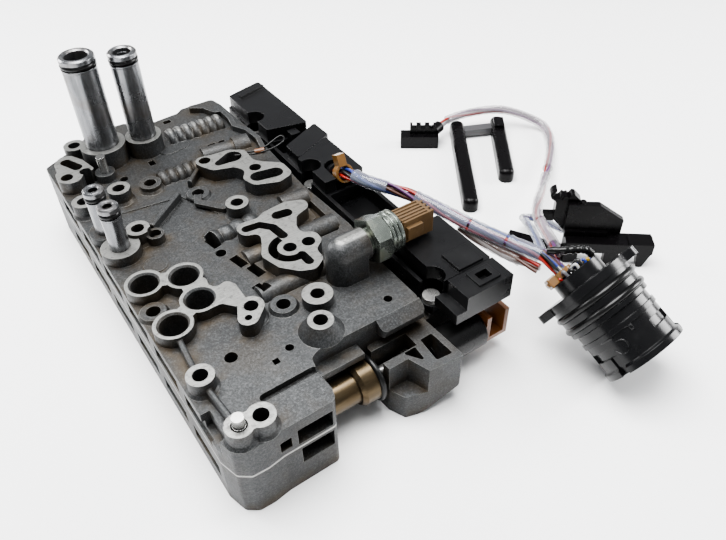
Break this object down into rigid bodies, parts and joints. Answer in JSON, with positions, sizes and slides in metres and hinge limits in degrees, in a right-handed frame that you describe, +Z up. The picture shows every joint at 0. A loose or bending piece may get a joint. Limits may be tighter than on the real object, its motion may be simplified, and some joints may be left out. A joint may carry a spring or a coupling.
{
  "type": "transmission valve body",
  "caption": "Valve body of an automatic gearbox: two flat aluminium castings with ports, feed tubes, solenoids under a contact rail and a wiring harness with a round connector.",
  "frame": {"origin": "on the lower casing's flat underside, straight below the front locating dowel", "axes": "+X along the short side towards the contact rail, +Y along the long side away from the dowel, +Z up out of the deck"},
  "size_m": [0.3254, 0.3196, 0.111],
  "materials": {
    "casting": "as cast, stained brown by oil at edges",
    "plate_steel": "bare sheet",
    "tube_aluminium": "turned, streaked",
    "seal_rubber": "matt",
    "bright_steel": "ground",
    "spring_steel": "drawn wire",
    "solenoid_can": "satin black",
    "brown_plastic": "moulded",
    "pilot_bronze": "oil-stained",
    "zinc_steel": "zinc plated, yellowish",
    "amber_plastic": "moulded",
    "rail_plastic": "satin black",
    "loom_sleeve": "milky clear sleeve over coloured wires",
    "connector_plastic": "moulded, glossy black",
    "contact_metal": "tinned",
    "grey_plastic": "moulded"
  },
  "bodies": {
    "root": {"upper_valve_casing": "casting", "lower_valve_casing": "casting", "end_bracket": "casting", "separator_plate": "plate_steel", "feed_tube_large": "tube_aluminium", "feed_tube_medium": "tube_aluminium", "feed_tube_front_small": "tube_aluminium", "feed_tube_rear_small": "tube_aluminium", "feed_tube_seals": "seal_rubber", "solenoid_seals": "seal_rubber", "pilot_seal": "seal_rubber", "connector_seals": "seal_rubber", "front_dowel_pin": "bright_steel", "rear_dowel_pin": "bright_steel", "casing_screws": "bright_steel", "check_balls": "bright_steel", "rail_screws": "bright_steel", "valve_spring_1": "spring_steel", "valve_spring_2": "spring_steel", "valve_spring_3": "spring_steel", "valve_spring_4": "spring_steel", "pilot_spring": "spring_steel", "solenoid_1": "solenoid_can", "solenoid_2": "solenoid_can", "solenoid_3": "solenoid_can", "solenoid_4": "solenoid_can", "solenoid_5": "solenoid_can", "solenoid_6": "solenoid_can", "solenoid_caps": "brown_plastic", "pilot_valve": "pilot_bronze", "pressure_sensor": "zinc_steel", "pressure_sensor_seal": "zinc_steel", "pressure_sensor_plug": "amber_plastic", "rail_tie": "amber_plastic", "junction_tie": "amber_plastic", "contact_rail": "rail_plastic", "rear_cover": "rail_plastic", "middle_cover": "rail_plastic", "front_cover": "rail_plastic", "trunk_loom": "loom_sleeve", "lower_loom": "loom_sleeve", "sensor_branch": "loom_sleeve", "selector_branch": "loom_sleeve", "connector_housing": "connector_plastic", "harness_plug": "connector_plastic", "long_sensor_bar": "connector_plastic", "short_sensor_bar": "connector_plastic", "selector_switch": "connector_plastic", "connector_pins": "contact_metal", "sensor_bridge": "grey_plastic"},
    "stem": {"pilot_stem": "bright_steel"},
    "spool_1": {"spool_valve_1": "bright_steel"},
    "spool_2": {"spool_valve_2": "bright_steel"},
    "spool_3": {"spool_valve_3": "bright_steel"},
    "spool_4": {"spool_valve_4": "bright_steel"}
  },
  "joints": [
    {"name": "spool_1_slide", "type": "slide", "parent": "root", "child": "spool_1", "axis": [1, 0, 0], "range_m": [-0.004, 0], "stiffness_N_per_m": 400, "springref_m": 0.003, "deforming": ["valve_spring_1"]},
    {"name": "spool_2_slide", "type": "slide", "parent": "root", "child": "spool_2", "axis": [1, 0, 0], "range_m": [-0.004, 0], "stiffness_N_per_m": 400, "springref_m": 0.003, "deforming": ["valve_spring_2"]},
    {"name": "spool_3_slide", "type": "slide", "parent": "root", "child": "spool_3", "axis": [1, 0, 0], "range_m": [-0.004, 0], "stiffness_N_per_m": 400, "springref_m": 0.003, "deforming": ["valve_spring_3"]},
    {"name": "spool_4_slide", "type": "slide", "parent": "root", "child": "spool_4", "axis": [1, 0, 0], "range_m": [-0.004, 0], "stiffness_N_per_m": 400, "springref_m": 0.003, "deforming": ["valve_spring_4"]},
    {"name": "stem_slide", "type": "slide", "parent": "root", "child": "stem", "axis": [1, 0, 0], "range_m": [0, 0.0025], "stiffness_N_per_m": 400, "springref_m": -0.003, "deforming": ["pilot_spring"]}
  ]
}
